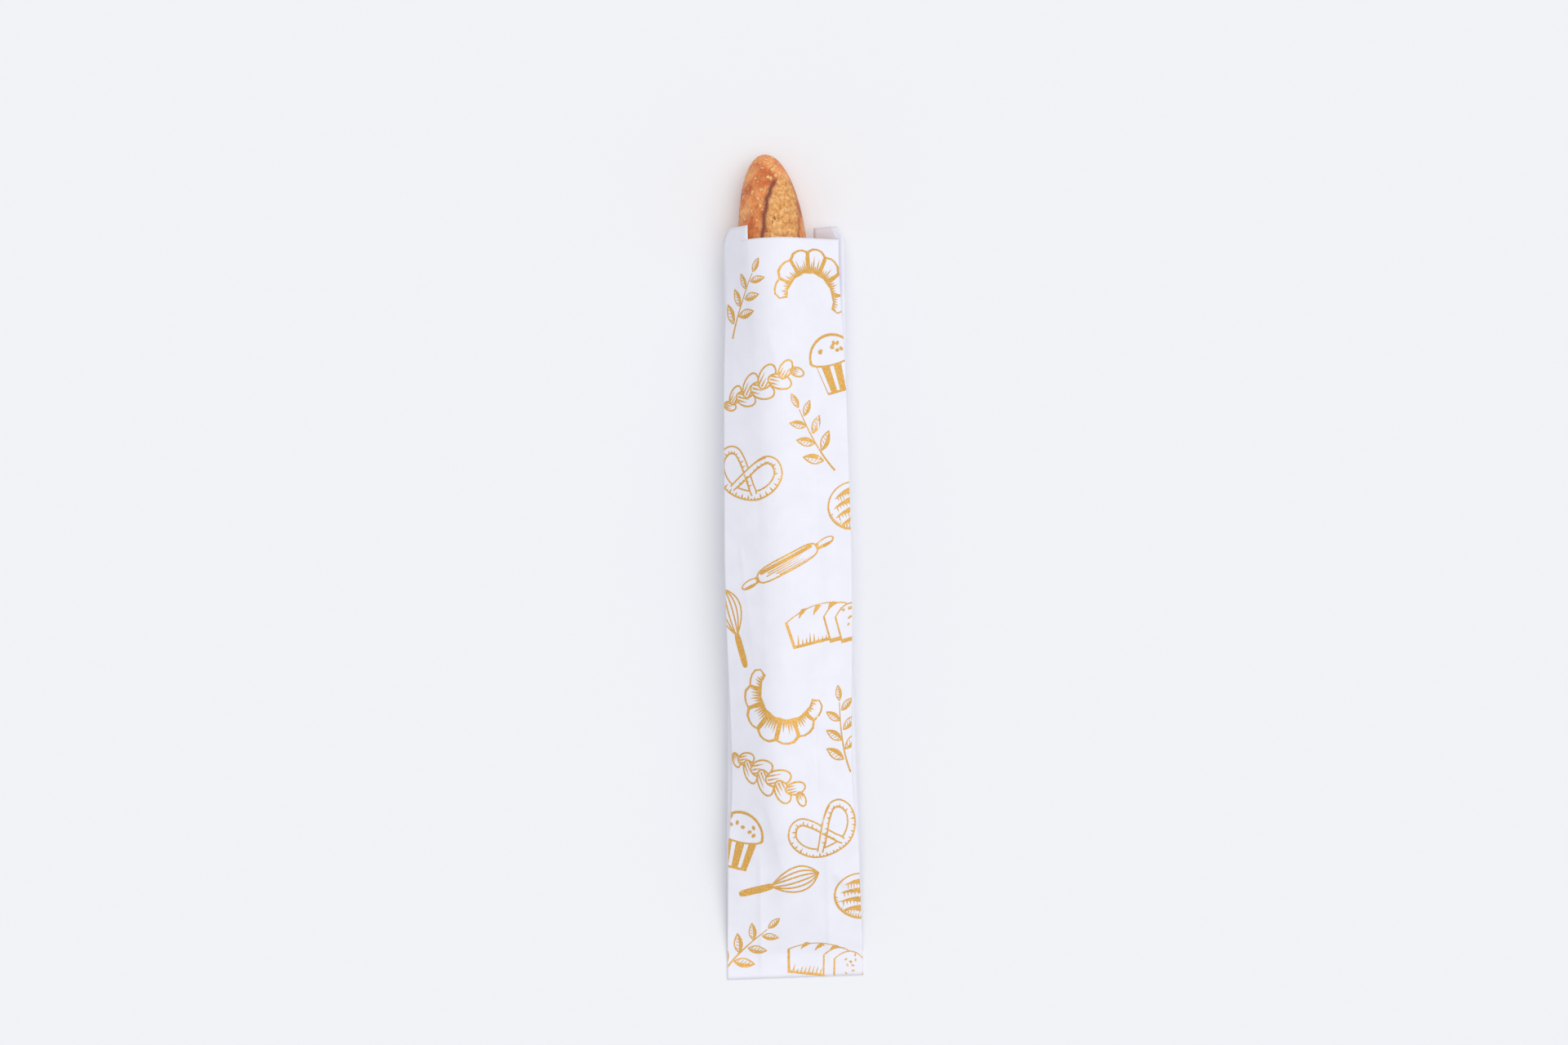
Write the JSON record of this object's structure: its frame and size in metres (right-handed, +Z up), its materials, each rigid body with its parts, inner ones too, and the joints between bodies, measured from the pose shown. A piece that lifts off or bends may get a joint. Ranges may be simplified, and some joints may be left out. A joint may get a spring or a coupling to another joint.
{
  "type": "paper baguette bag",
  "caption": "White paper baguette bag with a gold bakery print, side gussets and a turned-under glued bottom, lying flat with a baguette inside.",
  "frame": {"origin": "on the surface that the bag lies on, under the middle of its bounding box", "axes": "+Y along the bag from its glued bottom to its mouth, +Z up through the printed front panel, +X to the right seen from above"},
  "size_m": [0.1, 0.605, 0.048],
  "materials": {
    "printed_paper": "matte",
    "bread_crust": "matte"
  },
  "bodies": {
    "root": {"paper_bag": "printed_paper", "baguette": "bread_crust"}
  },
  "joints": []
}
